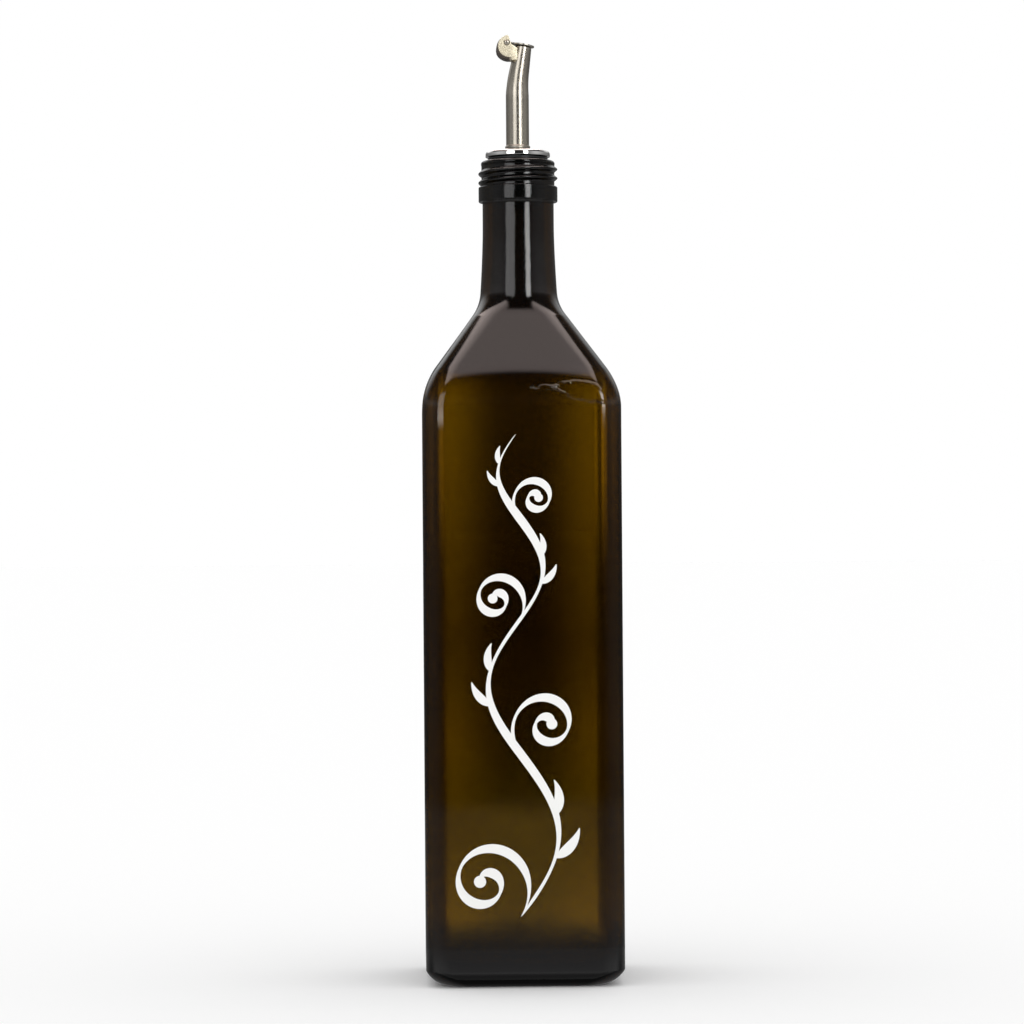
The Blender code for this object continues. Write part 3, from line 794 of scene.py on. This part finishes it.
def makeHinge():
    sheet = sheetMaterial()
    plate = drawnSteel("greySheet", hinge["flapLight"], hinge["flapDark"], 0.22, (0.2, 1, 1), 600.0)
    softenedCopy("flap_bracket", "flapBracket", "bottle", sheet)
    softenedCopy("flap", "spoutFlap", "flap", plate)
    inside, outside = hinge["headInside"], hinge["headOutside"]
    radius, head = hinge["pinRadius"], hinge["headRadius"]
    half = [(radius, inside), (head, inside), (head, mix(inside, outside, 0.3))]
    for turn in quarterTurns(6)[1:]:
        half.append((head * math.cos(turn), mix(inside, outside, mix(0.3, 1, math.sin(turn)))))
    shape = turned([(out, -up) for out, up in reversed(half)] + half, 32, closed=False)
    turn = Matrix.Translation(hinge["pin"]) @ Matrix.Rotation(math.pi / 2, 4, "X")
    bmesh.ops.transform(shape, matrix=turn, verts=shape.verts)
    rivet = drawnSteel("rivetSteel", spout["light"], spout["dark"], 0.16, (1, 1, 1), 900.0)
    finishPiece(shape, "hingeRivet", "bottle", rivet, ["hinge_pin"])


makeHinge()


# a plain white vine printed up the front

vine = {
    "foot": 27.0,  # in mm up the front, like the rest here
    "across": -2.0,
    "waves": 4,
    "firstWave": 62.0,
    "shrink": 0.80,
    "sway": 0.235,  # of a wave's length
    "scrollTurn": math.radians(590),
    "scrollOut": 0.325,  # widest bend, of a wave's length
    "scrollIn": 0.030,
    "thick": 1.95,  # half widths
    "thin": 0.30,  # of the thick
    "penSlant": math.radians(65),
    "dot": 2.3,
    "leaves": ((0.36, -50, 0.24), (0.62, -40, 0.22)),  # share up the wave, tilt, length
    "leafCurl": math.radians(2.2),
    "film": 0.03,  # thickness against half width
    "white": (0.95, 0.95, 0.93, 1),
}


def penned(points, size, startTaper, endTaper):
    # gives each (x, z) point the half width that a slanted broad pen would
    last = len(points) - 1
    path = []
    for index, (x, z) in enumerate(points):
        before, after = points[max(0, index - 1)], points[min(last, index + 1)]
        slant = math.atan2(after[1] - before[1], after[0] - before[0]) - vine["penSlant"]
        width = size * mix(vine["thin"], 1.0, abs(math.sin(slant)) ** 1.5)
        share = index / last
        path.append((x, z, width * min(1.0, share / startTaper, (1 - share) / endTaper) ** 0.5))
    return path


def roundDot(x, z, radius):
    return [(x, z + radius * math.sin(turn), radius * math.cos(turn))
            for turn in [math.pi * (share - 0.5) for share in steps(12)]]


def walked(x, z, heading, strides, turns):
    # steps along a bending line
    points = [(x, z)]
    for stride, turn in zip(strides, turns):
        heading += turn
        x += stride * math.cos(heading)
        z += stride * math.sin(heading)
        points.append((x, z))
    return points


def vinePaths():
    paths = []
    stem = []
    foot, length, side = vine["foot"], vine["firstWave"], 1
    for wave in range(vine["waves"]):
        sway = side * vine["sway"]

        def onStem(share):
            return vine["across"] + sway * length * math.sin(math.pi * share), foot + length * share

        stem += [onStem(share) for share in steps(40)[:-1]]
        count = 120
        turn = vine["scrollTurn"] / count
        bends = [length * mix(vine["scrollOut"], vine["scrollIn"], share ** 0.62) for share in steps(count)[:-1]]
        scroll = walked(
            *onStem(0), math.atan2(1, sway * math.pi), [bend * turn for bend in bends], [side * turn] * count,
        )
        size = (length / vine["firstWave"]) ** 0.5
        paths.append(penned(scroll, vine["thick"] * size ** 0.7, 0.10, 0.02))
        paths.append(roundDot(*scroll[-1], vine["dot"] * size))
        for share, tilt, leafLength in vine["leaves"]:
            slope = sway * math.pi * math.cos(math.pi * share)
            heading = math.atan2(1, slope) + side * math.radians(tilt)
            stride = length * leafLength / 24
            leaf = walked(*onStem(share), heading, [stride] * 24, [side * vine["leafCurl"]] * 24)
            belly = 0.13 * length * leafLength
            paths.append([
                (x, z, 0.15 + belly * math.sin(math.pi * (index / 24) ** 0.75))
                for index, (x, z) in enumerate(leaf)
            ])
        foot += length
        length *= vine["shrink"]
        side = -side
    paths.append(penned(stem, vine["thick"], 0.03, 0.25))
    return paths


def makeVine():
    curve = bpy.data.curves.new("whiteVine", "CURVE")
    curve.dimensions = "3D"
    curve.bevel_depth = 1.0
    curve.bevel_resolution = 3
    curve.use_fill_caps = True
    for path in vinePaths():
        spline = curve.splines.new("POLY")
        spline.points.add(len(path) - 1)
        for point, (x, z, radius) in zip(spline.points, path):
            point.co = (x, 0, z, 1)
            point.radius = radius
    holder = bpy.data.objects.new("vineCurve", curve)
    mesh = bpy.data.meshes.new_from_object(holder)
    bpy.data.objects.remove(holder)
    # the round strokes are pressed into a film on the front panel
    press = Matrix.Diagonal((mm, vine["film"] * mm, mm, 1))
    mesh.transform(Matrix.Translation((0, -bottle["half"], 0)) @ press)
    material, wire, shader = newMaterial("whitePrint", {"Base Color": vine["white"]})
    point = place(wire)[0]
    link(noise(wire, point, 700.0) * 0.2 + 0.38, shader, "Roughness")
    finishMesh(mesh, "whiteVine", "bottle", material, sharp=80)


makeVine()


# plain floor, light and camera

studio = {
    "pale": (1.0, 1.0, 1.0, 1),
    "floor": (0.995, 0.995, 0.995, 1),
    "floorSize": 30.0,
    "room": (  # degrees away from the camera's side, and brightness
        (0, 0.012), (12, 0.012), (42, 0.15), (58, 0.25), (75, 0.26), (92, 0.21), (110, 0.15), (140, 0.13),
        (180, 0.10),
    ),
    "horizon": 0.5,  # the room's share of that at the horizon
    "horizonTop": 5.0,  # in degrees
    "lift": 1.0,  # how much brighter the room gets a little higher up
    "liftBetween": (9, 20, 3),  # in degrees
    "boxes": (  # from, to in degrees; brightness by the horizon and higher up
        (-42, -13, 3.4, 2.0), (20.5, 35, 0.8, 7.2),
    ),
    "boxFoot": (1.8, 3.0),  # degrees above the horizon where they start
    "boxSoft": 1.2,
    "boxRise": (2.6, 4.6),  # degrees above the horizon
    "boxTop": (30, 40),
    "overhead": (1.66, 1.40, 1.32),
    "overheadRim": 0.8,  # how much brighter it is by its sides
    "overheadFront": 0.60,  # how far its edges lie from straight up, as a slope
    "overheadBack": 1.6,
    "overheadSide": 0.53,
    "overheadRight": 1.08,  # how much closer its right edge lies
    "overheadSoft": 0.13,
    "behindUp": (12, 24, 32, 44),  # a light behind the bottle: degrees up from, fully, till and gone
    "behindFrom": (106, 150),  # degrees away from the camera's side
    "behindLeft": 1.1,
    "behindRight": 0.7,
    "table": (  # degrees down from, to, added brightness, and the share of it behind the bottle
        (4.0, 4.4, 0.11, 0.5), (4.6, 8.0, 0.25, 0.6), (8.0, 30.0, 0.20, -0.5), (45.0, 75.0, -0.36, 0.2),
    ),
}


def makeWorld():
    # gloss sees a dark studio with two softboxes and a light overhead, everything else an even pale room
    world = bpy.data.worlds.new("paleStudio")
    world.use_nodes = True
    bpy.context.scene.world = world
    wire = Wire(world.node_tree)
    x, y, z = parts(wire, wire.node("ShaderNodeTexCoord", output="Generated"))
    azimuth = wire.math("ARCTAN2", x, 0 - y) * math.degrees(1)
    elevation = wire.math("ARCSINE", z) * math.degrees(1)
    room = (wire.math("ABSOLUTE", azimuth) / 180).stops([
        (degrees / 180, (bright, bright, bright)) for degrees, bright in studio["room"]
    ])
    horizon = elevation.ramp(0, studio["horizonTop"]) * (1 - studio["horizon"]) + studio["horizon"]
    horizon = horizon * (elevation.band(*studio["liftBetween"]) * studio["lift"] + 1)
    glow = room * horizon * (1 - elevation.ramp(12, 40) * 0.75) * (1 - (0 - elevation).ramp(2, 10) * 0.6)
    upright = elevation.ramp(*studio["boxFoot"]) * (1 - elevation.ramp(*studio["boxTop"]))
    rise = elevation.ramp(*studio["boxRise"])
    for low, high, near, above in studio["boxes"]:
        glow = glow + azimuth.band(low, high, studio["boxSoft"]) * upright * (rise * (above - near) + near)
    beyond = wire.math("ABSOLUTE", azimuth).ramp(75, 110)
    for start, end, bright, share in studio["table"]:
        glow = glow + (0 - elevation).ramp(start, end) * (beyond * (share - 1) + 1) * bright
    start, full, till, gone = studio["behindUp"]
    left, right = studio["behindLeft"], studio["behindRight"]
    behind = elevation.ramp(start, full) * (1 - elevation.ramp(till, gone))
    behind = behind * wire.math("ABSOLUTE", azimuth).ramp(*studio["behindFrom"])
    glow = glow + behind * ((1 - azimuth.ramp(-20, 20)) * (left - right) + right)
    above = wire.math("MAXIMUM", z, 0.01)
    aside = wire.math("MAXIMUM", 0 - x, x * studio["overheadRight"]) / above
    side, soft = studio["overheadSide"], studio["overheadSoft"]
    lamp = 1 - aside.ramp(side - 0.03, side + 0.03)
    lamp = lamp * (aside.ramp(0.1, side - 0.1) * studio["overheadRim"] + 1)
    lamp = lamp * (y / above).band(-studio["overheadFront"], studio["overheadBack"], soft) * z.ramp(0.2, 0.3)
    colour = wire.node("ShaderNodeCombineColor", inputs={
        index: glow + lamp * bright for index, bright in enumerate(studio["overhead"])
    })
    rays = wire.node("ShaderNodeLightPath")
    glossy, through = [Wire(wire.tree, rays.socket.node.outputs[name])
                       for name in ("Is Glossy Ray", "Is Transmission Ray")]
    seen = (glossy * (1 - through)).colours(studio["pale"], colour)
    background = next(node for node in wire.tree.nodes if node.type == "BACKGROUND")
    wire.tree.links.new(seen.socket, background.inputs["Color"])


def makeFloor():
    shape = bmesh.new()
    bmesh.ops.create_grid(shape, x_segments=1, y_segments=1, size=studio["floorSize"])
    mesh = bpy.data.meshes.new("floor")
    shape.to_mesh(mesh)
    shape.free()
    material, wire, shader = newMaterial("paleFloor", {"Base Color": studio["floor"], "Roughness": 0.9})
    shader.inputs["Specular IOR Level"].default_value = 0.0
    mesh.materials.append(material)
    floor = bpy.data.objects.new("floor", mesh)
    bpy.context.scene.collection.objects.link(floor)
    floor.visible_glossy = False


view = {
    "distance": 1.379,
    "height": 0.1673,
    "yaw": math.radians(1.7),
    "roll": math.radians(0.41),
    "lens": 125.0,
    "axisPixel": (520.5, 545.0),  # where the bottle's axis at the camera's height lands
    "frame": 1024,
}


def makeCamera():
    yaw, roll = view["yaw"], view["roll"]
    back = Vector((-math.sin(yaw), -math.cos(yaw), 0))
    right = Vector((-back.y, back.x, 0))
    up = Vector((0, 0, 1))
    leanRight = right * math.cos(roll) - up * math.sin(roll)
    leanUp = right * math.sin(roll) + up * math.cos(roll)
    camera = bpy.data.objects.new("camera", bpy.data.cameras.new("camera"))
    turn = Matrix((leanRight, leanUp, back)).transposed()
    camera.matrix_world = Matrix.Translation(back * view["distance"] + up * view["height"]) @ turn.to_4x4()
    camera.data.lens = view["lens"]
    camera.data.sensor_width = 36.0
    across, down = view["axisPixel"]
    camera.data.shift_x = (view["frame"] / 2 - across) / view["frame"]
    camera.data.shift_y = (down - view["frame"] / 2) / view["frame"]
    bpy.context.scene.collection.objects.link(camera)
    bpy.context.scene.camera = camera


makeWorld()
makeFloor()
makeCamera()
bpy.context.scene.view_settings.view_transform = "Standard"
print("floor, light and camera done")
